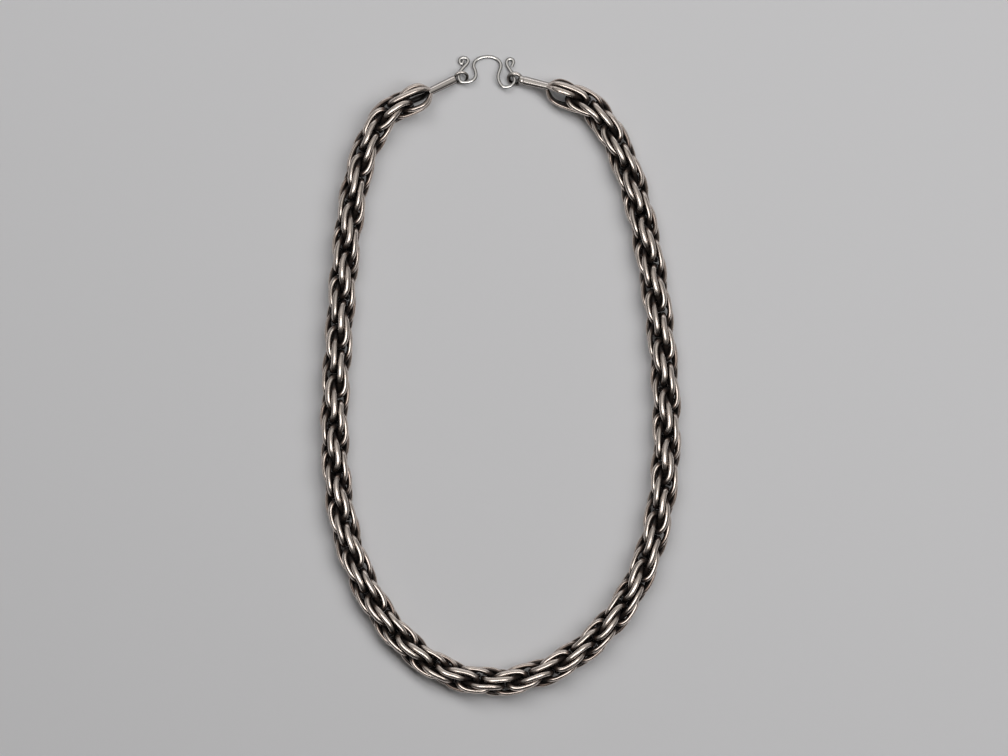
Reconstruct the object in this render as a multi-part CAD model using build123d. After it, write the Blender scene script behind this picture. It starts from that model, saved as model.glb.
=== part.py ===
from build123d import *
from bisect import bisect_right
from math import cos, radians, sin, tan
import os

# A round woven chain necklace of silver wire, lying flat on a surface with its hook closed.
# X runs across the necklace, +Y points from the bottom of the loop to the hook, and +Z points up.
# The chain is a tube of closed wire links. Every level of the weave holds three links, turned a third
# of a turn apart, and each link joins two bars that lie nearly opposite each other on the tube.
# A link passes through six of its neighbours. The last level at each end is three open loops,
# whose legs run together and are soldered into the end tube.

# The chain
CHAIN_DIAMETER = 9.3
LINK_CLEARANCE = 0.12
STRANDS = 3
LEVEL_TURN = 33.5
ROUTE_SAMPLES = 40

# The weave's room for wire and clearance, and the height of one level, as shares of the diameter
WEAVE_ROOM = 0.172
LEVEL_SHARE = 0.4134

# The end tubes, their rings and the neck of the chain where it enters them
NECK_SHARE = 0.3
NECK_DEPTH = 1.0
FLARE_LENGTH = 5.0
FIRST_STATION = 4.3
FERRULE_CHAIN_RADIUS = 1.35
FERRULE_RING_RADIUS = 1.6
FERRULE_RIM = 0.25
LEFT_FERRULE_CHAIN_RADIUS = 1.2
LEFT_FERRULE_RING_RADIUS = 1.4
LEFT_RING_WIRE = 0.9
LEFT_RING_RADIUS = 1.95
RIGHT_RING_WIRE = 1.25
RIGHT_RING_RADIUS = 2.0
JOINT_RADIUS = 1.45
JOINT_STEP = 0.62

# The hook
HOOK_WIRE = 1.0
HOOK_LOW_Y = 98.9
HOOK_SLOPE = 0.2

# Share of the shorter of two runs that the arc between them may use
ARC_SHARE = 0.45

LINK_WIRE = WEAVE_ROOM * CHAIN_DIAMETER - LINK_CLEARANCE
BAR_RADIUS = (CHAIN_DIAMETER - LINK_WIRE) / 2
NECK_RADIUS = NECK_SHARE * LINK_WIRE
AXIS_HEIGHT = CHAIN_DIAMETER / 2

# One half of a link, from one end of a bar's crown to the last corner before the opposite bar:
# distance from the chain's axis as a share of the bars' radius, angle round the axis in degrees,
# and height along the axis as a share of one level. The other half is the same, turned over.
LINK_HALF = [
    (1.00, -2.4, -0.66),
    (1.00, 2.4, 0.66),
    (0.74, 5.4, 1.22),
    (0.40, 98.0, 2.32),
    (0.74, 144.0, 2.21),
]

# The route of the chain's axis, from the right end tube round the bottom to the left one.
# Points chosen on the photographed curve, about 16 mm apart.
ROUTE = [
    (14.6, 89.3), (28.6, 82.6), (37.1, 69.3), (42.3, 54.3), (45.8, 38.9),
    (48.4, 23.3), (50.3, 7.6), (51.4, -8.2), (51.4, -24.0), (49.8, -39.8),
    (46.1, -55.2), (39.5, -69.5), (29.5, -81.8), (16.6, -90.8), (1.4, -95.2),
    (-14.1, -93.3), (-27.5, -85.0), (-37.7, -72.9), (-44.8, -58.8), (-49.1, -43.6),
    (-51.0, -27.9), (-51.4, -12.0), (-50.6, 3.8), (-49.5, 19.6), (-48.2, 35.3),
    (-46.3, 51.1), (-42.8, 66.5), (-35.5, 80.4), (-21.7, 87.8),
]

# Far ends of the end tubes and centres of their rings, with the ring's tilt about X and Y in degrees
RIGHT_TUBE_END = Vector(7.3, 91.1, 2.9)
RIGHT_RING_CENTRE = Vector(4.5, 91.8, 2.05)
RIGHT_RING_TILT = (40.0, -8.0)
LEFT_TUBE_END = Vector(-14.2, 91.6, 2.0)
LEFT_RING_CENTRE = Vector(-12.2, 92.2, 1.75)
LEFT_RING_TILT = (35.0, 5.0)

# Corners of the hook's wire, from the curl at the left end to the curl at the right end
HOOK_CORNERS = [
    (-12.0, 96.3), (-12.8, 96.8), (-12.6, 98.0), (-11.5, 98.5), (-10.2, 98.2), (-9.9, 97.0),
    (-11.8, 95.1), (-13.0, 93.4), (-13.0, 91.7), (-12.1, 90.7), (-10.2, 90.7), (-8.4, 91.3),
    (-7.5, 92.7), (-7.8, 94.5), (-8.4, 95.7), (-8.1, 97.3), (-6.2, 98.5), (-3.6, 98.9),
    (-1.3, 98.3), (0.0, 97.0), (0.2, 95.5), (-0.5, 93.9), (-0.8, 92.3), (-0.3, 90.5),
    (0.8, 89.2), (2.4, 89.2), (3.9, 90.0), (4.6, 91.4), (3.9, 93.2), (2.7, 95.0),
    (1.9, 96.4), (2.0, 97.7), (3.1, 98.3), (4.2, 97.8), (4.2, 96.8), (3.5, 96.1),
]


def route_stations():
    """Points along the route on a smooth curve through its points, with the length run so far."""
    points = [Vector(x, y, AXIS_HEIGHT) for x, y in ROUTE]
    before = points[0] * 2 - points[1]
    after = points[-1] * 2 - points[-2]
    padded = [before] + points + [after]
    samples = [points[0]]
    for i in range(1, len(padded) - 2):
        a, b, c, d = padded[i - 1:i + 3]
        for k in range(1, ROUTE_SAMPLES + 1):
            t = k / ROUTE_SAMPLES
            samples.append(
                b
                + (c - a) * (t / 2)
                + (a * 2 - b * 5 + c * 4 - d) * (t * t / 2)
                + (b * 3 - a - c * 3 + d) * (t * t * t / 2)
            )
    lengths = [0.0]
    for a, b in zip(samples, samples[1:]):
        lengths.append(lengths[-1] + (b - a).length)
    return samples, lengths


SAMPLES, LENGTHS = route_stations()
CHAIN_LENGTH = LENGTHS[-1]
TRIOS = round((CHAIN_LENGTH - 2 * FIRST_STATION) / (2 * LEVEL_SHARE * CHAIN_DIAMETER) - 1.5)
LEVEL = (CHAIN_LENGTH - 2 * FIRST_STATION) / (2 * TRIOS + 3)
BAR_TURN = LEVEL_TURN + 360.0 / STRANDS


def axis_point(station):
    """Point of the chain's axis at a station, and the direction of travel there."""
    i = min(max(bisect_right(LENGTHS, station) - 1, 0), len(SAMPLES) - 2)
    step = SAMPLES[i + 1] - SAMPLES[i]
    travel = step.normalized()
    return SAMPLES[i] + travel * (station - LENGTHS[i]), travel


def on_chain(radius, angle, station):
    """Point at a distance and angle round the chain's axis; angle 0 is on top."""
    centre, travel = axis_point(station)
    up = Vector(0, 0, 1)
    side = up.cross(travel)
    return centre + (up * cos(radians(angle)) + side * sin(radians(angle))) * radius


def rounded(corners, closed):
    """Straight runs through the corners, joined by the largest arcs that the runs allow."""
    count = len(corners)
    arcs = []
    for i in range(0 if closed else 1, count if closed else count - 1):
        corner = corners[i]
        back = corners[i - 1] - corner
        ahead = corners[(i + 1) % count] - corner
        cut = ARC_SHARE * min(back.length, ahead.length)
        back = back.normalized()
        ahead = ahead.normalized()
        half_turn = radians((180 - back.get_angle(ahead)) / 2)
        radius = cut / tan(half_turn)
        middle = corner + (back + ahead).normalized() * (radius / cos(half_turn) - radius)
        arcs.append((corner + back * cut, middle, corner + ahead * cut))
    edges = []
    for i, (start, middle, end) in enumerate(arcs):
        edges.append(Edge.make_three_point_arc(start, middle, end))
        if closed or i + 1 < len(arcs):
            edges.append(Edge.make_line(end, arcs[(i + 1) % len(arcs)][0]))
    if not closed:
        edges.insert(0, Edge.make_line(corners[0], arcs[0][0]))
        edges.append(Edge.make_line(arcs[-1][2], corners[-1]))
    return edges


def wire_along(edges, diameter):
    """Round wire along an open path of lines and arcs."""
    path = Wire(edges)
    return sweep(Plane(origin=path @ 0, z_dir=path % 0) * Circle(diameter / 2), path=path).solid()


def closed_wire(corners, diameter):
    """Round wire along a closed path, made as two halves that meet at the middles of two runs."""
    edges = rounded(corners, closed=True)
    count = len(edges)
    first = 1
    second = 1 + count // 2
    halves = []
    for begin, finish in ((first, second), (second, first + count)):
        run_out = edges[begin]
        run_in = edges[finish % count]
        between = [edges[k % count] for k in range(begin + 1, finish)]
        path = [Edge.make_line(run_out @ 0.5, run_out @ 1), *between,
                Edge.make_line(run_in @ 0, run_in @ 0.5)]
        halves.append(wire_along(path, diameter))
    return (halves[0] + halves[1]).solid()


def link_corners(station, angle):
    """Corners of the closed link whose first bar has its middle at a station and angle."""
    corners = [
        on_chain(share * BAR_RADIUS, angle + turn, station + height * LEVEL)
        for share, turn, height in LINK_HALF
    ]
    corners += [
        on_chain(share * BAR_RADIUS, angle + BAR_TURN - turn, station + (1 - height) * LEVEL)
        for share, turn, height in LINK_HALF
    ]
    return corners


def level_links(level):
    """The three links of one level of the weave, counted from the right end's open loops."""
    station = FIRST_STATION + 2 * LEVEL * level
    turn = 2 * LEVEL_TURN * level
    return [
        closed_wire(link_corners(station, turn + 360.0 / STRANDS * strand), LINK_WIRE)
        for strand in range(STRANDS)
    ]


def end_loops(level, first_end):
    """The open loops of an end level: half a link each, with both legs drawn into the neck."""
    station = FIRST_STATION + 2 * LEVEL * level
    if first_end:
        mouth, flare = -NECK_DEPTH, FLARE_LENGTH
    else:
        mouth, flare = CHAIN_LENGTH + NECK_DEPTH, CHAIN_LENGTH - FLARE_LENGTH
    loops = []
    for strand in range(STRANDS):
        angle = 2 * LEVEL_TURN * level + 360.0 / STRANDS * strand
        corners = link_corners(station, angle)
        bars = (angle, angle + BAR_TURN)
        kept = corners[1:6] if first_end else corners[6:] + corners[:1]
        leg_in, leg_out = bars if first_end else (bars[1], bars[0])
        path = [
            on_chain(NECK_RADIUS, leg_in, mouth), on_chain(BAR_RADIUS, leg_in, flare), *kept,
            on_chain(BAR_RADIUS, leg_out, flare), on_chain(NECK_RADIUS, leg_out, mouth),
        ]
        loops.append(wire_along(rounded(path, closed=False), LINK_WIRE))
    return loops


def tilted_ring(centre, radius, wire, tilt):
    """A wire ring, laid flat and then tilted about X and Y."""
    return Location(centre, (tilt[0], tilt[1], 0)) * Torus(radius, wire / 2)


def end_tube(chain_end, ring_end, chain_radius, ring_radius):
    """The tapered tube from the neck of the chain to the ring, with a small rim at the neck."""
    axis = ring_end - chain_end
    plane = Plane(origin=chain_end, z_dir=axis)
    from_base = (Align.CENTER, Align.CENTER, Align.MIN)
    body = plane * Cone(chain_radius, ring_radius, axis.length, align=from_base)
    rim = plane * Torus(chain_radius, FERRULE_RIM)
    return body + rim


def right_end():
    """End tube, round joint, ring and open loops of the chain's right end, soldered into one piece."""
    neck, _ = axis_point(0.0)
    piece = end_tube(neck, RIGHT_TUBE_END, FERRULE_CHAIN_RADIUS, FERRULE_RING_RADIUS)
    joint = RIGHT_TUBE_END + (RIGHT_TUBE_END - neck).normalized() * JOINT_STEP
    piece += Location(joint) * Sphere(JOINT_RADIUS)
    piece += tilted_ring(RIGHT_RING_CENTRE, RIGHT_RING_RADIUS, RIGHT_RING_WIRE, RIGHT_RING_TILT)
    for loop in end_loops(0, first_end=True):
        piece += loop
    return piece.solid()


def left_end():
    """End tube, ring and open loops of the chain's left end, soldered into one piece."""
    neck, _ = axis_point(CHAIN_LENGTH)
    piece = end_tube(neck, LEFT_TUBE_END, LEFT_FERRULE_CHAIN_RADIUS, LEFT_FERRULE_RING_RADIUS)
    piece += tilted_ring(LEFT_RING_CENTRE, LEFT_RING_RADIUS, LEFT_RING_WIRE, LEFT_RING_TILT)
    for loop in end_loops(TRIOS + 1, first_end=False):
        piece += loop
    return piece.solid()


def hook():
    """The M-shaped hook: a flat bent wire whose two curls rest on the surface."""
    corners = [
        Vector(x, y, HOOK_WIRE / 2 + HOOK_SLOPE * (HOOK_LOW_Y - y)) for x, y in HOOK_CORNERS
    ]
    return wire_along(rounded(corners, closed=False), HOOK_WIRE)


def write_parts():
    """Build every piece and write one STEP file for each."""
    middle = TRIOS // 2
    parts = {
        "chain_right": Compound([link for i in range(1, middle + 1) for link in level_links(i)]),
        "chain_left": Compound([link for i in range(middle + 1, TRIOS + 1) for link in level_links(i)]),
        "ferrule_right": right_end(),
        "ferrule_left": left_end(),
        "hook_clasp": hook(),
    }
    os.makedirs("parts", exist_ok=True)
    for name, shape in parts.items():
        export_step(shape, f"parts/{name}.step")
        box = shape.bounding_box()
        print(name, len(shape.solids()), "solids, volume", round(shape.volume, 1), "mm3, box",
              [round(v, 2) for v in (box.min.X, box.min.Y, box.min.Z, box.max.X, box.max.Y, box.max.Z)])
    print("chain length", round(CHAIN_LENGTH, 1), "mm,", TRIOS, "levels of three links,",
          "level height", round(LEVEL, 3), "mm")


write_parts()
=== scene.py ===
"""Looks of the woven chain necklace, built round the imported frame.

The chain is made again as smooth wire links with the same weave, and the end tubes, their rings and
the hook as soldered and hand-bent wire. X runs across the necklace, +Y towards the hook, +Z up.
"""

import math

import bpy
import numpy as np
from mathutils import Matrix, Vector


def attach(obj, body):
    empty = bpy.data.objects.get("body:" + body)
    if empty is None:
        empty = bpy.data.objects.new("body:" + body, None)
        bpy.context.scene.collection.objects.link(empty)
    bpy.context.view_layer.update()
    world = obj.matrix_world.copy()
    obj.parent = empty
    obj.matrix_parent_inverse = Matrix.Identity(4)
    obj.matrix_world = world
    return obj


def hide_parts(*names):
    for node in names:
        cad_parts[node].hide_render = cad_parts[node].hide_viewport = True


MM = 0.001
UP = np.array([0.0, 0.0, 1.0])
BLACK = (0.0, 0.0, 0.0)
WHITE = (1.0, 1.0, 1.0)
WARM = (1.0, 0.98, 0.96)

# The photograph's frame: its width in pixels, the size of a pixel on the table, and its middle
PHOTO_WIDTH = 1008
PIXEL = 0.31 * MM
VIEW_CENTRE = (1.1 * MM, -1.1 * MM)

# The camera's lens and sensor in millimetres, and how far it sees in metres
LENS = 200.0
SENSOR_WIDTH = 36.0
FARTHEST = 20.0

# The weave, as in the part's source, but of thicker wire
CHAIN_DIAMETER = 9.3 * MM
LINK_WIRE = 1.68 * MM
LEVEL_TURN = math.radians(33.5)
STRANDS = 3
BAR_TURN = LEVEL_TURN + 2 * math.pi / STRANDS
LEVEL_SHARE = 0.4134
FIRST_STATION = 4.3 * MM
AXIS_HEIGHT = CHAIN_DIAMETER / 2
ROUTE_SAMPLES = 40

# The bars stand out further by most of what wear has taken off their tops
WEAR_MADE_UP = 0.12 * MM
BAR_RADIUS = (CHAIN_DIAMETER - LINK_WIRE) / 2 + WEAR_MADE_UP

# One half of a link: share of the bars' radius, angle in degrees, share of a level's height.
# The bars' bends are a little rounder than in the part's source
LINK_HALF = [
    (1.00, -2.2, -0.58),
    (1.00, 2.2, 0.58),
    (0.72, 5.7, 1.19),
    (0.40, 98.0, 2.32),
    (0.74, 144.0, 2.21),
]

# Unevenness of handwork: its seed, then share of the distance from the axis, radians, height, and share
# of the wire's radius
SEED = 7
UNEVEN_REACH = 0.008
UNEVEN_ANGLE = 0.012
UNEVEN_HEIGHT = 0.04 * MM
UNEVEN_WIRE = 0.01

# The route of the chain's axis in millimetres, as in the part's source
ROUTE = [
    (14.6, 89.3), (28.6, 82.6), (37.1, 69.3), (42.3, 54.3), (45.8, 38.9),
    (48.4, 23.3), (50.3, 7.6), (51.4, -8.2), (51.4, -24.0), (49.8, -39.8),
    (46.1, -55.2), (39.5, -69.5), (29.5, -81.8), (16.6, -90.8), (1.4, -95.2),
    (-14.1, -93.3), (-27.5, -85.0), (-37.7, -72.9), (-44.8, -58.8), (-49.1, -43.6),
    (-51.0, -27.9), (-51.4, -12.0), (-50.6, 3.8), (-49.5, 19.6), (-48.2, 35.3),
    (-46.3, 51.1), (-42.8, 66.5), (-35.5, 80.4), (-21.7, 87.8),
]

# Meshes of the wires and of the turned shapes
WIRE_SIDES = 12
SAMPLES_PER_CORNER = 8
HOOK_SIDES = 16
RING_SIDES = 20
RING_STEPS = 48
TUBE_SIDES = 40
BALL_SIDES = 24
BALL_STEPS = 15

# Angle in radians of the small flats at a ball's poles
BALL_POLE = 0.12

# The wire's section: a little wider round the chain than it is deep, with a worn, flattened top
WIRE_WIDER = 1.05
TOP_WORN = 0.18

# Where the wire stays polished and lit, and where tarnish and painted shade darken it deep in the weave:
# how far out it lies as a share of the bars' radius, and how much it faces outward
POLISH_AND_SHADE_DEPTH = (0.55, 0.94)
POLISH_AND_SHADE_SIDE = (-0.55, 0.75)

# Painted shade on the plain metal's sides, which are darker than its top: share of its normal that points
# up
PAINTED_SIDE_SHADE = (0.25, 0.85)
HOOK_PAINTED_SIDE_SHADE = (0.55, 1.00)

# Tarnish and painted shade in the end rings' holes fade between these shares of the ring's radius
RING_TARNISH_AND_SHADE = (0.80, 1.20)

# End loops where they run into the tubes
NECK_RADIUS = 0.55 * MM
NECK_THINNING = 0.35
NECK_DEPTH = 0.6 * MM
FLARE_LENGTH = 2.6 * MM
TUBE_OVERLAP = 0.8 * MM

# End tubes and rings in millimetres, as in the part's source but with slightly slimmer tubes
RIGHT_TUBE_END = (7.3, 91.1, 2.9)
RIGHT_RING_CENTRE = (4.5, 91.8, 2.05)
RIGHT_RING_TILT = (40.0, -8.0)
LEFT_TUBE_END = (-14.2, 91.6, 2.0)
LEFT_RING_CENTRE = (-12.2, 92.2, 1.75)
LEFT_RING_TILT = (35.0, 5.0)
RIGHT_TUBE_RADII = (1.25, 1.52)
LEFT_TUBE_RADII = (1.2, 1.35)
RIGHT_RING = (2.0, 1.25)
LEFT_RING = (1.95, 0.9)
JOINT_RADIUS = 1.45
JOINT_STEP = 0.62

# Rounded edges of the tubes, and how finely and softly the soldered shapes are fused
TUBE_RIM = 0.12 * MM
SOLDER_VOXEL = 0.07 * MM
SOLDER_BLUR = 0.5
SOLDER_ROUNDS = 6

# The hook's thinner tips: share of its length, and of the wire's thickness at the very end
TIP_LENGTH = 0.05
TIP_THICKNESS = 0.7

# The hook in millimetres, as in the part's source but with its two curls wound a little tighter
HOOK_WIRE = 1.0
HOOK_LOW_Y = 98.9
HOOK_SLOPE = 0.2
HOOK_CORNERS = [
    (-11.6, 97.2), (-11.9, 96.4), (-12.7, 96.8), (-12.7, 98.0), (-11.5, 98.6), (-10.2, 98.2), (-9.9, 97.0),
    (-11.8, 95.1), (-13.0, 93.4), (-13.0, 91.7), (-12.1, 90.7), (-10.2, 90.7), (-8.4, 91.3),
    (-7.5, 92.7), (-7.8, 94.5), (-8.4, 95.7), (-8.1, 97.3), (-6.2, 98.5), (-3.6, 98.9),
    (-1.3, 98.3), (0.0, 97.0), (0.2, 95.5), (-0.5, 93.9), (-0.8, 92.3), (-0.3, 90.5),
    (0.8, 89.2), (2.4, 89.2), (3.9, 90.0), (4.6, 91.4), (3.9, 93.2), (2.7, 95.0),
    (1.9, 96.4), (2.0, 97.6), (3.0, 98.2), (3.9, 97.8), (4.1, 96.9), (3.7, 96.0),
]

# Colours of clean metal, and its roughness: on the chain the least and the greatest
CHAIN_METAL = (0.745, 0.66, 0.60)
CHAIN_ROUGHNESS = (0.14, 0.26)
ENDS_METAL = (0.78, 0.73, 0.69)
ENDS_ROUGHNESS = 0.16
HOOK_METAL = (0.96, 0.945, 0.92)
HOOK_ROUGHNESS = 0.20

# Ramps over how polished and lit the chain is: its tarnish and painted shade, from the deepest outward,
# and where it turns from dull to metallic
TARNISH_AND_SHADE = [(0.18, (0.014, 0.011, 0.010)), (0.40, (0.042, 0.031, 0.026)), (0.62, (0.19, 0.138, 0.114))]
DULL_TO_METAL = [(0.22, BLACK), (0.55, WHITE)]
TARNISH_SPECULAR = 0.25

# Further stops of the ramps, as shares of the clean metal's brightness; the plain metal's lowest stops are
# painted shade on its sides
CHAIN_CLEAN = [(0.86, 0.78), (1.0, 1.0)]
PLAIN_SHADED_TO_CLEAN = [(0.06, 0.07), (0.50, 0.45), (0.95, 1.0)]

# Soft patches in the polish, and how much they change it
PATCHES = {"Scale": 110.0, "Detail": 3.0, "Roughness": 0.55}
CHAIN_PATCHES = 0.30
PLAIN_PATCHES = 0.12

# Fine scratches on the chain, and the values between which they change its roughness
GRAIN = {"Scale": 900.0, "Detail": 4.0, "Roughness": 0.6}
GRAIN_RANGE = (0.3, 0.8)
GRAIN_DEPTH = 0.03 * MM
GRAIN_STRENGTH = 0.20

# The surface that the necklace lies on
TABLE_SIZE = 2.0
TABLE_COLOUR = (0.78, 0.775, 0.785, 1)
TABLE_ROUGHNESS = 0.7
TABLE_SPECULAR = 0.2

# The room: its brightness by height and from front to back, and the plain wall that the camera sees
ROOM_BY_HEIGHT = [
    (0.0, (0.10, 0.10, 0.10)),
    (0.30, (0.16, 0.16, 0.16)),
    (0.75, (0.40, 0.39, 0.38)),
    (1.0, (0.64, 0.63, 0.61)),
]
ROOM_BY_DEPTH = [(0.05, (0.10, 0.10, 0.10)), (0.40, (0.60, 0.60, 0.60)), (0.60, WHITE)]
WALL_COLOUR = (0.50, 0.50, 0.505, 1)

# Share of the room's light that falls on dull surfaces, which the overhead light mostly lights
ROOM_ON_SURFACES = 0.2

# Lights: name, place, width and length, radiance, whether it is soft, colour
LIGHTS = [
    ("overhead", (0.22, 0.30, 1.0), (2.2, 0.5), 3.15, True, WHITE),
    ("broad", (0.10, 1.00, 0.28), (1.6, 0.4), 0.9, False, WHITE),
    ("window_left", (-0.21, -0.19, 0.84), (0.34, 0.44), 2.5, False, WARM),
    ("window_right", (0.21, -0.19, 0.84), (0.34, 0.44), 2.5, False, WARM),
]

rng = np.random.default_rng(SEED)


def route_line():
    """Points along the chain's axis and the length run to each, in metres."""
    points = np.array([(x * MM, y * MM, AXIS_HEIGHT) for x, y in ROUTE])
    padded = np.vstack([2 * points[0] - points[1], points, 2 * points[-1] - points[-2]])
    samples = [points[:1]]
    t = (np.arange(1, ROUTE_SAMPLES + 1) / ROUTE_SAMPLES)[:, None]
    for a, b, c, d in zip(padded, padded[1:], padded[2:], padded[3:]):
        bend = a * 2 - b * 5 + c * 4 - d
        twist = b * 3 - a - c * 3 + d
        samples.append(b + (c - a) * (t / 2) + bend * (t ** 2 / 2) + twist * (t ** 3 / 2))
    line = np.vstack(samples)
    steps = np.linalg.norm(np.diff(line, axis=0), axis=1)
    return line, np.concatenate([[0.0], np.cumsum(steps)])


AXIS_LINE, AXIS_LENGTHS = route_line()
CHAIN_LENGTH = AXIS_LENGTHS[-1]

# The number of trios of closed links, which start on every second level, and the height of a level
TRIOS = round((CHAIN_LENGTH - 2 * FIRST_STATION) / (2 * LEVEL_SHARE * CHAIN_DIAMETER) - 1.5)
LEVEL = (CHAIN_LENGTH - 2 * FIRST_STATION) / (2 * TRIOS + 3)


def axis_at(stations):
    """Centres of the chain at some stations, and the direction of travel there."""
    stations = np.asarray(stations, float)
    index = np.clip(np.searchsorted(AXIS_LENGTHS, stations, side="right") - 1, 0, len(AXIS_LINE) - 2)
    travel = AXIS_LINE[index + 1] - AXIS_LINE[index]
    travel /= np.linalg.norm(travel, axis=-1, keepdims=True)
    return AXIS_LINE[index] + travel * (stations - AXIS_LENGTHS[index])[..., None], travel


def on_chain(radius, angle, station):
    """Points at a distance and angle round the chain's axis; angle 0 is on top."""
    centre, travel = axis_at(station)
    side = np.stack([-travel[..., 1], travel[..., 0], np.zeros_like(travel[..., 0])], -1)
    radius = np.asarray(radius)[..., None]
    angle = np.asarray(angle)[..., None]
    return centre + (UP * np.cos(angle) + side * np.sin(angle)) * radius


def link_start(trio, strand):
    """Station and angle at which one link of a trio starts."""
    station = FIRST_STATION + 2 * LEVEL * trio
    return station, 2 * LEVEL_TURN * trio + 2 * math.pi / STRANDS * strand


def link_corners(station, angle):
    """Distance, angle and station of the corners of one closed link."""
    half = np.array([(share, math.radians(turn), height) for share, turn, height in LINK_HALF])
    reach = half[:, 0] * BAR_RADIUS
    first = np.stack([reach, angle + half[:, 1], station + half[:, 2] * LEVEL], 1)
    second = np.stack([reach, angle + BAR_TURN - half[:, 1], station + (1 - half[:, 2]) * LEVEL], 1)
    return np.vstack([first, second])


def smooth(corners, closed):
    """Quadratic B-spline through the middles of the runs between the corners."""
    corners = np.asarray(corners, float)
    if closed:
        before, after = np.roll(corners, 1, 0), np.roll(corners, -1, 0)
    else:
        before = np.vstack([2 * corners[:1] - corners[1:2], corners[:-1]])
        after = np.vstack([corners[1:], 2 * corners[-1:] - corners[-2:-1]])
    t = np.arange(SAMPLES_PER_CORNER) / SAMPLES_PER_CORNER
    weights = np.stack([(1 - t) ** 2 / 2, 0.5 + t - t ** 2, t ** 2 / 2], 1)
    points = np.vstack([weights @ np.stack([a, b, c]) for a, b, c in zip(before, corners, after)])
    if not closed:
        points = np.vstack([points, (corners[-1] + after[-1]) / 2])
    return points


def full_turn(sides):
    """Angles evenly round a circle."""
    return 2 * math.pi * np.arange(sides) / sides


def directions(points, closed):
    """Unit vectors along a line of points."""
    if closed:
        ahead = np.roll(points, -1, 0) - np.roll(points, 1, 0)
    else:
        ahead = np.gradient(points, axis=0)
    return ahead / np.linalg.norm(ahead, axis=1, keepdims=True)


def untwisted(ahead):
    """Unit vectors across a line, each turned as little as it can be from the one before."""
    across = np.zeros_like(ahead)
    start = np.cross(ahead[0], UP)
    across[0] = start / np.linalg.norm(start)
    for i in range(1, len(ahead)):
        carried = across[i - 1] - ahead[i] * np.dot(across[i - 1], ahead[i])
        across[i] = carried / np.linalg.norm(carried)
    return across


def closing_lean(ahead, across):
    """The turn spread along a closed line so that its last ring of vertices meets the first."""
    back = across[-1] - ahead[0] * np.dot(across[-1], ahead[0])
    back /= np.linalg.norm(back)
    gap = math.atan2(np.dot(np.cross(back, across[0]), ahead[0]), np.dot(back, across[0]))
    return gap * np.arange(len(ahead)) / len(ahead)


def ring_faces(count, sides, closed):
    """Faces that join a row of rings of vertices, with a cap at each end of an open row."""
    faces = []
    for i in range(count if closed else count - 1):
        j = (i + 1) % count
        for k in range(sides):
            m = (k + 1) % sides
            faces.append((i * sides + k, i * sides + m, j * sides + m, j * sides + k))
    if not closed:
        faces.append(tuple(range(sides))[::-1])
        faces.append(tuple((count - 1) * sides + k for k in range(sides)))
    return faces


def tube(points, radii, closed, sides=WIRE_SIDES):
    """Vertices and faces of a wire along points, with one radius or a radius for each."""
    count = len(points)
    ahead = directions(points, closed)
    across = untwisted(ahead)
    third = np.cross(ahead, across)
    lean = closing_lean(ahead, across) if closed else np.zeros(count)
    angle = full_turn(sides)[None, :] + lean[:, None]
    rim = np.cos(angle)[..., None] * across[:, None] + np.sin(angle)[..., None] * third[:, None]
    radii = np.broadcast_to(radii, count)[:, None, None]
    return (points[:, None] + rim * radii).reshape(-1, 3), ring_faces(count, sides, closed)


def outward(points, stations):
    """Unit vectors from the chain's axis out to some points, and the direction of travel there."""
    centre, travel = axis_at(stations)
    offset = points - centre
    offset -= travel * np.sum(offset * travel, axis=1, keepdims=True)
    return offset / np.linalg.norm(offset, axis=1, keepdims=True), travel


def worn_off(height, radius):
    """How much wear has taken off a round wire at a height above its middle."""
    share = np.clip(height / radius, 0, 1)
    return TOP_WORN * radius * share ** 3


def worn(verts, line, stations):
    """The wire's section made a little wider round the chain and worn flatter on its outer face."""
    out, travel = outward(line, stations)
    out, travel = np.repeat(out, WIRE_SIDES, 0), np.repeat(travel, WIRE_SIDES, 0)
    across = np.cross(travel, out)
    offset = verts - np.repeat(line, WIRE_SIDES, 0)
    proud = np.sum(offset * out, axis=1, keepdims=True)
    wide = np.sum(offset * across, axis=1, keepdims=True)
    return verts + across * wide * (WIRE_WIDER - 1) - out * worn_off(proud, LINK_WIRE / 2)


def eased(values, low, high):
    """Values between two levels as a smooth step from 0 to 1."""
    t = np.clip((values - low) / (high - low), 0, 1)
    return t * t * (3 - 2 * t)


def polish_and_shade(verts, line, stations, width=BAR_RADIUS):
    """How polished and lit each vertex is painted: 1 on the bars' outer faces, 0 deep in the weave, where
    tarnish and painted shade darken it.
    """
    out, _ = outward(line, stations)
    centre, _ = axis_at(stations)
    depth = np.sum((line - centre) * out, axis=1) / width
    offset = verts - np.repeat(line, WIRE_SIDES, 0)
    offset /= np.linalg.norm(offset, axis=1, keepdims=True)
    faces_out = np.sum(offset * np.repeat(out, WIRE_SIDES, 0), axis=1)
    return np.repeat(eased(depth, *POLISH_AND_SHADE_DEPTH), WIRE_SIDES) * eased(faces_out, *POLISH_AND_SHADE_SIDE)


def join(parts):
    """One set of vertices, faces and polish-and-shade values from several."""
    verts, faces, bright = [], [], []
    offset = 0
    for part_verts, part_faces, part_bright in parts:
        verts.append(part_verts)
        bright.append(part_bright)
        faces += [tuple(v + offset for v in face) for face in part_faces]
        offset += len(part_verts)
    return np.vstack(verts), faces, np.concatenate(bright)


def add_polish_and_shade(mesh, bright):
    """Store on a mesh how polished each vertex is and how much painted shade darkens it."""
    layer = mesh.attributes.new("polish_and_shade", "FLOAT", "POINT")
    layer.data.foreach_set("value", np.asarray(bright, np.float32))


def make_piece(name, verts, faces):
    """A smooth-shaded mesh object in the scene."""
    mesh = bpy.data.meshes.new(name)
    mesh.from_pydata([tuple(v) for v in verts], [], faces)
    mesh.validate()
    mesh.shade_smooth()
    piece = bpy.data.objects.new(name, mesh)
    bpy.context.scene.collection.objects.link(piece)
    return piece


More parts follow.
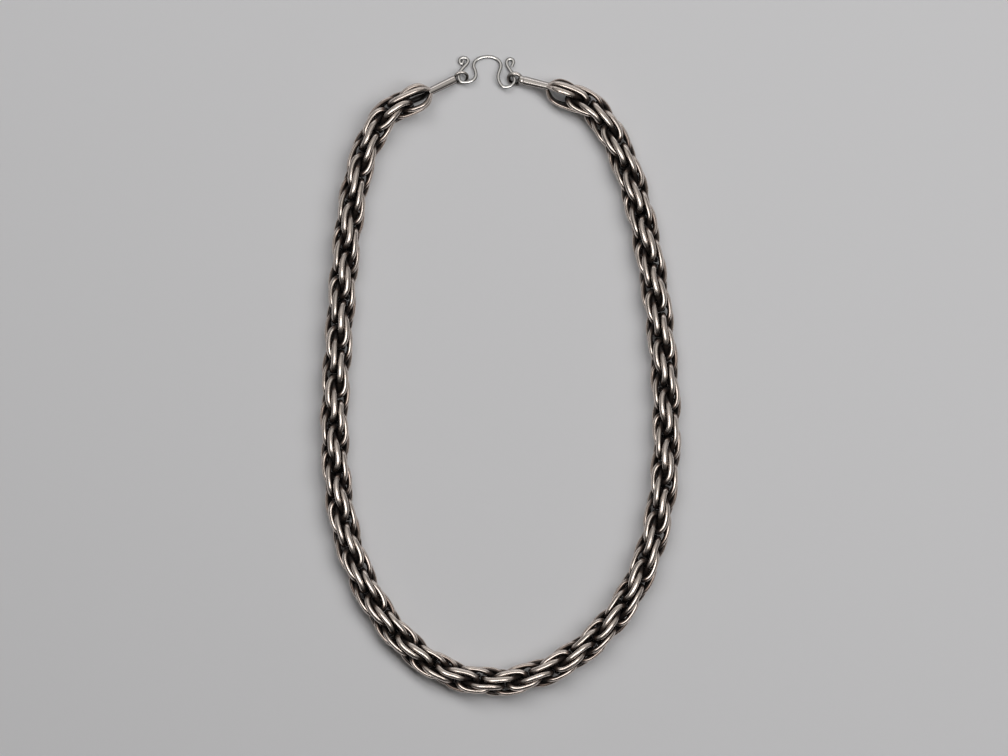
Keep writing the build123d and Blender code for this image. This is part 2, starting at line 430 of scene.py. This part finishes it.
def wire_link(station, angle):
    """One closed link of the weave, with the small unevenness of handwork."""
    corners = link_corners(station, angle)
    corners[:, 0] *= 1 + rng.normal(0, UNEVEN_REACH, len(corners))
    corners[:, 1] += rng.normal(0, UNEVEN_ANGLE, len(corners))
    corners[:, 2] += rng.normal(0, UNEVEN_HEIGHT, len(corners))
    line = smooth(on_chain(corners[:, 0], corners[:, 1], corners[:, 2]), closed=True)
    stations = smooth(corners[:, 2:3], closed=True)[:, 0]
    radius = LINK_WIRE / 2 * (1 + rng.normal(0, UNEVEN_WIRE))
    verts, faces = tube(line, radius, closed=True)
    return worn(verts, line, stations), faces, polish_and_shade(verts, line, stations)


def woven_chain(name, trios, node):
    """The closed links of a run of trios, as one piece in place of a node."""
    verts, faces, bright = join([
        wire_link(*link_start(trio, strand)) for trio in trios for strand in range(STRANDS)
    ])
    piece = make_piece(name, verts, faces)
    add_polish_and_shade(piece.data, bright)
    piece.data.materials.append(SILVER_CHAIN)
    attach(piece, "root")
    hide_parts(node)


def end_loop(trio, strand, first_end):
    """One open loop of an end trio, with both legs drawn together into the tube's mouth."""
    station, angle = link_start(trio, strand)
    corners = link_corners(station, angle)
    if first_end:
        kept = corners[1:6]
        legs = (angle, angle + BAR_TURN)
        inside, mouth, flare = -NECK_DEPTH, 0.0, FLARE_LENGTH
    else:
        kept = np.vstack([corners[6:], corners[:1]])
        legs = (angle + BAR_TURN, angle)
        inside, mouth, flare = CHAIN_LENGTH + NECK_DEPTH, CHAIN_LENGTH, CHAIN_LENGTH - FLARE_LENGTH
    leg = [(NECK_RADIUS, inside), (NECK_RADIUS, mouth), (BAR_RADIUS, flare)]
    way_in = [(radius, legs[0], place) for radius, place in leg]
    way_out = [(radius, legs[1], place) for radius, place in reversed(leg)]
    path = np.vstack([way_in, kept, way_out])
    line = smooth(on_chain(path[:, 0], path[:, 1], path[:, 2]), closed=False)
    stations = smooth(path[:, 2:3], closed=False)[:, 0]
    spread = np.clip(np.minimum(stations, CHAIN_LENGTH - stations) / FLARE_LENGTH, 0, 1)
    radii = LINK_WIRE / 2 * (1 - NECK_THINNING * (1 - spread))
    verts, faces = tube(line, radii, closed=False)
    width = NECK_RADIUS + (BAR_RADIUS - NECK_RADIUS) * spread
    return worn(verts, line, stations), faces, polish_and_shade(verts, line, stations, width)


def end_loops(name, trio, first_end, node):
    """The open loops of an end trio, as one more piece in place of a node."""
    verts, faces, bright = join([end_loop(trio, strand, first_end) for strand in range(STRANDS)])
    piece = make_piece(name, verts, faces)
    add_polish_and_shade(piece.data, bright)
    piece.data.materials.append(SILVER_CHAIN)
    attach(piece, "root")
    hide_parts(node)


def turned(points, tilt):
    """Points turned about X and Y, as the part's source turns its rings."""
    tx, ty = (math.radians(value) for value in tilt)
    about_x = np.array([[1, 0, 0], [0, math.cos(tx), -math.sin(tx)], [0, math.sin(tx), math.cos(tx)]])
    about_y = np.array([[math.cos(ty), 0, math.sin(ty)], [0, 1, 0], [-math.sin(ty), 0, math.cos(ty)]])
    return points @ (about_x @ about_y).T


def ring_tube(centre, size, tilt):
    """A closed ring of wire, with its radius and the wire's thickness as its size."""
    radius, wire = size
    turn = full_turn(RING_STEPS)
    lying = np.stack([np.cos(turn), np.sin(turn), 0 * turn], 1) * radius * MM
    line = turned(lying, tilt) + np.array(centre) * MM
    return tube(line, wire / 2 * MM, closed=True, sides=RING_SIDES)


def turned_shape(origin, axis, profile, sides):
    """A closed shape turned about an axis. The profile holds heights along it and radii."""
    axis = axis / np.linalg.norm(axis)
    across = np.cross(axis, (0.0, 1.0, 0.0))
    across /= np.linalg.norm(across)
    third = np.cross(axis, across)
    turn = full_turn(sides)
    rim = np.cos(turn)[:, None] * across + np.sin(turn)[:, None] * third
    verts = np.vstack([origin + axis * height + rim * radius for height, radius in profile])
    return verts, ring_faces(len(profile), sides, closed=False)


def turned_tube(neck, end, radii):
    """The tapered end tube, which reaches a little way into the chain."""
    neck = neck - (end - neck) / np.linalg.norm(end - neck) * TUBE_OVERLAP
    length = np.linalg.norm(end - neck)
    thin, thick = (value * MM for value in radii)
    profile = [
        (0.0, thin - TUBE_RIM),
        (TUBE_RIM, thin),
        (length * 0.5, (thin + thick) / 2),
        (length - 1.5 * TUBE_RIM, thick),
        (length, thick - 0.8 * TUBE_RIM),
        (length + 0.3 * TUBE_RIM, thick * 0.5),
    ]
    return turned_shape(neck, end - neck, profile, TUBE_SIDES)


def ball(centre, radius):
    """A closed ball of metal."""
    turn = np.linspace(BALL_POLE, math.pi - BALL_POLE, BALL_STEPS)
    profile = [(-math.cos(angle) * radius, math.sin(angle) * radius) for angle in turn]
    return turned_shape(np.array(centre), np.array([1.0, 0.0, 0.0]), profile, BALL_SIDES)


def fused(name, shells):
    """Several closed shells as one skin, with their joints rounded as solder rounds them."""
    verts, faces, _ = join([(v, f, np.zeros(len(v))) for v, f in shells])
    piece = make_piece(name, verts, faces)
    remesh = piece.modifiers.new("fuse", "REMESH")
    remesh.mode = "VOXEL"
    remesh.voxel_size = SOLDER_VOXEL
    blur = piece.modifiers.new("solder", "SMOOTH")
    blur.factor = SOLDER_BLUR
    blur.iterations = SOLDER_ROUNDS
    graph = bpy.context.evaluated_depsgraph_get()
    mesh = bpy.data.meshes.new_from_object(piece.evaluated_get(graph))
    mesh.name = name
    piece.modifiers.clear()
    piece.data = mesh
    mesh.shade_smooth()
    return piece


def soldered(name, shells, node, ring_centre, ring_radius):
    """Fused shells in place of a node, with painted shade on their sides and tarnish and painted shade in
    the ring's hole.
    """
    piece = fused(name, shells)
    mesh = piece.data
    upright = np.abs([vertex.normal.z for vertex in mesh.vertices])
    places = np.array([vertex.co for vertex in mesh.vertices])
    from_ring = np.linalg.norm(places - np.array(ring_centre) * MM, axis=1) / (ring_radius * MM)
    # Painted shade darkens the sides by how little they face up; tarnish and painted shade darken the
    # ring's hole
    add_polish_and_shade(mesh, eased(upright, *PAINTED_SIDE_SHADE) * eased(from_ring, *RING_TARNISH_AND_SHADE))
    mesh.materials.clear()
    mesh.materials.append(SILVER_ENDS)
    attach(piece, "root")
    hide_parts(node)


def right_end():
    """The right end tube with its round joint and its ring."""
    neck, _ = axis_at(0.0)
    end = np.array(RIGHT_TUBE_END) * MM
    along = (end - neck) / np.linalg.norm(end - neck)
    joint = end + along * JOINT_STEP * MM
    shells = [
        turned_tube(neck, end, RIGHT_TUBE_RADII),
        ball(joint, JOINT_RADIUS * MM),
        ring_tube(RIGHT_RING_CENTRE, RIGHT_RING, RIGHT_RING_TILT),
    ]
    soldered("end_tube_right", shells, "ferrule_right", RIGHT_RING_CENTRE, RIGHT_RING[0])


def left_end():
    """The left end tube with its ring."""
    neck, _ = axis_at(CHAIN_LENGTH)
    end = np.array(LEFT_TUBE_END) * MM
    shells = [
        turned_tube(neck, end, LEFT_TUBE_RADII),
        ring_tube(LEFT_RING_CENTRE, LEFT_RING, LEFT_RING_TILT),
    ]
    soldered("end_tube_left", shells, "ferrule_left", LEFT_RING_CENTRE, LEFT_RING[0])


def hook():
    """The M-shaped hook of round wire, worn a little flatter on top."""
    corners = [
        (x * MM, y * MM, (HOOK_WIRE / 2 + HOOK_SLOPE * (HOOK_LOW_Y - y)) * MM) for x, y in HOOK_CORNERS
    ]
    line = smooth(corners, closed=False)
    share = np.linspace(0, 1, len(line))
    tips = np.clip(np.minimum(share, 1 - share) / TIP_LENGTH, 0, 1)
    radii = HOOK_WIRE / 2 * MM * (TIP_THICKNESS + (1 - TIP_THICKNESS) * np.sqrt(tips))
    verts, faces = tube(line, radii, closed=False, sides=HOOK_SIDES)
    height = (verts - np.repeat(line, HOOK_SIDES, 0))[:, 2]
    radius = np.repeat(radii, HOOK_SIDES)
    verts[:, 2] -= worn_off(height, radius)
    piece = make_piece("m_hook", verts, faces)
    # Painted shade darkens the hook's sides by how little they face up
    add_polish_and_shade(piece.data, eased(np.abs(height / radius), *HOOK_PAINTED_SIDE_SHADE))
    piece.data.materials.append(SILVER_HOOK)
    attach(piece, "root")
    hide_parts("hook_clasp")


def add_node(tree, kind, **inputs):
    """A shader node with some of its inputs set."""
    node = tree.nodes.new(kind)
    for key, value in inputs.items():
        node.inputs[key].default_value = value
    return node


def ramp(tree, factor, stops):
    """The colour that a ramp gives for a factor."""
    node = tree.nodes.new("ShaderNodeValToRGB")
    tree.links.new(factor, node.inputs["Fac"])
    elements = node.color_ramp.elements
    while len(elements) < len(stops):
        elements.new(0.5)
    for element, (place, colour) in zip(elements, stops):
        element.position = place
        element.color = (*colour, 1.0)
    return node.outputs["Color"]


def scaled(tree, value, factor, added):
    """A value times a factor, plus a number or another value."""
    node = tree.nodes.new("ShaderNodeMath")
    node.operation = "MULTIPLY_ADD"
    tree.links.new(value, node.inputs[0])
    node.inputs[1].default_value = factor
    if isinstance(added, float):
        node.inputs[2].default_value = added
    else:
        tree.links.new(added, node.inputs[2])
    return node.outputs["Value"]


def noise_on(tree, **inputs):
    """A noise over the object's own coordinates."""
    place = tree.nodes.new("ShaderNodeTexCoord").outputs["Object"]
    noise = add_node(tree, "ShaderNodeTexNoise", **inputs)
    tree.links.new(place, noise.inputs["Vector"])
    return noise.outputs["Fac"]


def patchy_polish_and_shade(tree, unevenness):
    """The stored polish and painted shade of the metal, made uneven in soft patches."""
    kept = tree.nodes.new("ShaderNodeAttribute")
    kept.attribute_name = "polish_and_shade"
    return scaled(tree, noise_on(tree, **PATCHES), unevenness, kept.outputs["Fac"])


def shades(colour, stops):
    """A colour at shares of its brightness, as stops of a ramp."""
    return [(place, tuple(share * value for value in colour)) for place, share in stops]


def woven_silver():
    """The chain's metal: polished on the bars' outer faces, dark with tarnish and painted shade towards
    the inside.
    """
    material = bpy.data.materials.new("woven_silver")
    material.use_nodes = True
    tree = material.node_tree
    shader = tree.nodes["Principled BSDF"]
    shader.inputs["Specular IOR Level"].default_value = TARNISH_SPECULAR
    kept = patchy_polish_and_shade(tree, CHAIN_PATCHES)
    # Tarnish and painted shade darken the colour deep in the weave
    colour = ramp(tree, kept, TARNISH_AND_SHADE + shades(CHAIN_METAL, CHAIN_CLEAN))
    tree.links.new(colour, shader.inputs["Base Color"])
    tree.links.new(ramp(tree, kept, DULL_TO_METAL), shader.inputs["Metallic"])
    grain = noise_on(tree, **GRAIN)
    wear = ramp(tree, grain, [(place, (rough,) * 3) for place, rough in zip(GRAIN_RANGE, CHAIN_ROUGHNESS)])
    tree.links.new(wear, shader.inputs["Roughness"])
    bump = add_node(tree, "ShaderNodeBump", Strength=GRAIN_STRENGTH, Distance=GRAIN_DEPTH)
    tree.links.new(grain, bump.inputs["Height"])
    tree.links.new(bump.outputs["Normal"], shader.inputs["Normal"])
    return material


def plain_silver(name, metal, roughness):
    """The metal of the end tubes and the hook, with painted shade on their sides."""
    material = bpy.data.materials.new(name)
    material.use_nodes = True
    tree = material.node_tree
    shader = tree.nodes["Principled BSDF"]
    shader.inputs["Metallic"].default_value = 1.0
    shader.inputs["Roughness"].default_value = roughness
    kept = patchy_polish_and_shade(tree, PLAIN_PATCHES)
    # The lowest stops paint shade on the sides
    tree.links.new(ramp(tree, kept, shades(metal, PLAIN_SHADED_TO_CLEAN)), shader.inputs["Base Color"])
    return material


def floor():
    """The plain pale surface that the necklace lies on."""
    far = TABLE_SIZE
    mesh = bpy.data.meshes.new("table_top")
    mesh.from_pydata([(-far, -far, 0), (far, -far, 0), (far, far, 0), (-far, far, 0)], [], [(0, 1, 2, 3)])
    top = bpy.data.objects.new("table_top", mesh)
    bpy.context.scene.collection.objects.link(top)
    material = bpy.data.materials.new("pale_table")
    material.use_nodes = True
    shader = material.node_tree.nodes["Principled BSDF"]
    shader.inputs["Base Color"].default_value = TABLE_COLOUR
    shader.inputs["Roughness"].default_value = TABLE_ROUGHNESS
    shader.inputs["Specular IOR Level"].default_value = TABLE_SPECULAR
    mesh.materials.append(material)


def softbox(name, place, size, radiance, soft, colour):
    """A light aimed at the necklace. A soft one lights the surfaces, the others only show in the metal."""
    data = bpy.data.lights.new(name, "AREA")
    data.shape = "RECTANGLE"
    data.size, data.size_y = size
    data.energy = radiance * math.pi * size[0] * size[1]
    data.color = colour
    lamp = bpy.data.objects.new(name, data)
    bpy.context.scene.collection.objects.link(lamp)
    lamp.location = place
    lamp.rotation_euler = (-Vector(place)).to_track_quat("-Z", "Y").to_euler()
    lamp.visible_camera = False
    lamp.visible_diffuse = soft
    lamp.visible_glossy = not soft


def room_colour(tree):
    """Pale surroundings, darker towards the front and the horizon."""
    place = tree.nodes.new("ShaderNodeTexCoord")
    parts = tree.nodes.new("ShaderNodeSeparateXYZ")
    tree.links.new(place.outputs["Generated"], parts.inputs["Vector"])
    forward = scaled(tree, parts.outputs["Y"], 0.5, 0.5)
    both = tree.nodes.new("ShaderNodeMix")
    both.data_type = "RGBA"
    both.blend_type = "MULTIPLY"
    both.inputs["Factor"].default_value = 1.0
    tree.links.new(ramp(tree, parts.outputs["Z"], ROOM_BY_HEIGHT), both.inputs["A"])
    tree.links.new(ramp(tree, forward, ROOM_BY_DEPTH), both.inputs["B"])
    return both.outputs["Result"]


def room():
    """The surroundings that light the scene and show in the metal. The camera sees a plain wall."""
    world = bpy.data.worlds.new("room")
    bpy.context.scene.world = world
    world.use_nodes = True
    tree = world.node_tree
    back = tree.nodes["Background"]
    tree.links.new(room_colour(tree), back.inputs["Color"])
    ray = tree.nodes.new("ShaderNodeLightPath")
    strength = scaled(tree, ray.outputs["Is Diffuse Ray"], ROOM_ON_SURFACES - 1.0, 1.0)
    tree.links.new(strength, back.inputs["Strength"])
    wall = add_node(tree, "ShaderNodeBackground", Color=WALL_COLOUR, Strength=1.0)
    mix = tree.nodes.new("ShaderNodeMixShader")
    tree.links.new(ray.outputs["Is Camera Ray"], mix.inputs["Fac"])
    tree.links.new(back.outputs["Background"], mix.inputs[1])
    tree.links.new(wall.outputs["Background"], mix.inputs[2])
    tree.links.new(mix.outputs["Shader"], tree.nodes["World Output"].inputs["Surface"])


def camera():
    """Straight above the necklace, framed as the photograph is."""
    data = bpy.data.cameras.new("photo_view")
    data.lens = LENS
    data.sensor_width = SENSOR_WIDTH
    data.clip_end = FARTHEST
    view = bpy.data.objects.new("photo_view", data)
    bpy.context.scene.collection.objects.link(view)
    distance = LENS / SENSOR_WIDTH * PHOTO_WIDTH * PIXEL
    view.location = (*VIEW_CENTRE, AXIS_HEIGHT + distance)
    view.rotation_euler = (0, 0, 0)
    bpy.context.scene.camera = view


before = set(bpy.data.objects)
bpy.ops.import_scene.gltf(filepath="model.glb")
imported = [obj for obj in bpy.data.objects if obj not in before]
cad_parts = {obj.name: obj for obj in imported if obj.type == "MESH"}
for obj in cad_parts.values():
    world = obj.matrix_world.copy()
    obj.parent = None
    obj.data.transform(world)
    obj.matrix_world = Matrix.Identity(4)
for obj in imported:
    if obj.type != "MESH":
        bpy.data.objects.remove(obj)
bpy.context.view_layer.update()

bpy.context.scene.view_settings.view_transform = "Standard"
camera()
room()
for light in LIGHTS:
    softbox(*light)
floor()

SILVER_CHAIN = woven_silver()
SILVER_ENDS = plain_silver("soldered_silver", ENDS_METAL, ENDS_ROUGHNESS)
SILVER_HOOK = plain_silver("hook_silver", HOOK_METAL, HOOK_ROUGHNESS)

middle = TRIOS // 2
woven_chain("chain_links_right", range(1, middle + 1), "chain_right")
woven_chain("chain_links_left", range(middle + 1, TRIOS + 1), "chain_left")
end_loops("end_loops_right", 0, True, "ferrule_right")
end_loops("end_loops_left", TRIOS + 1, False, "ferrule_left")
right_end()
left_end()
hook()
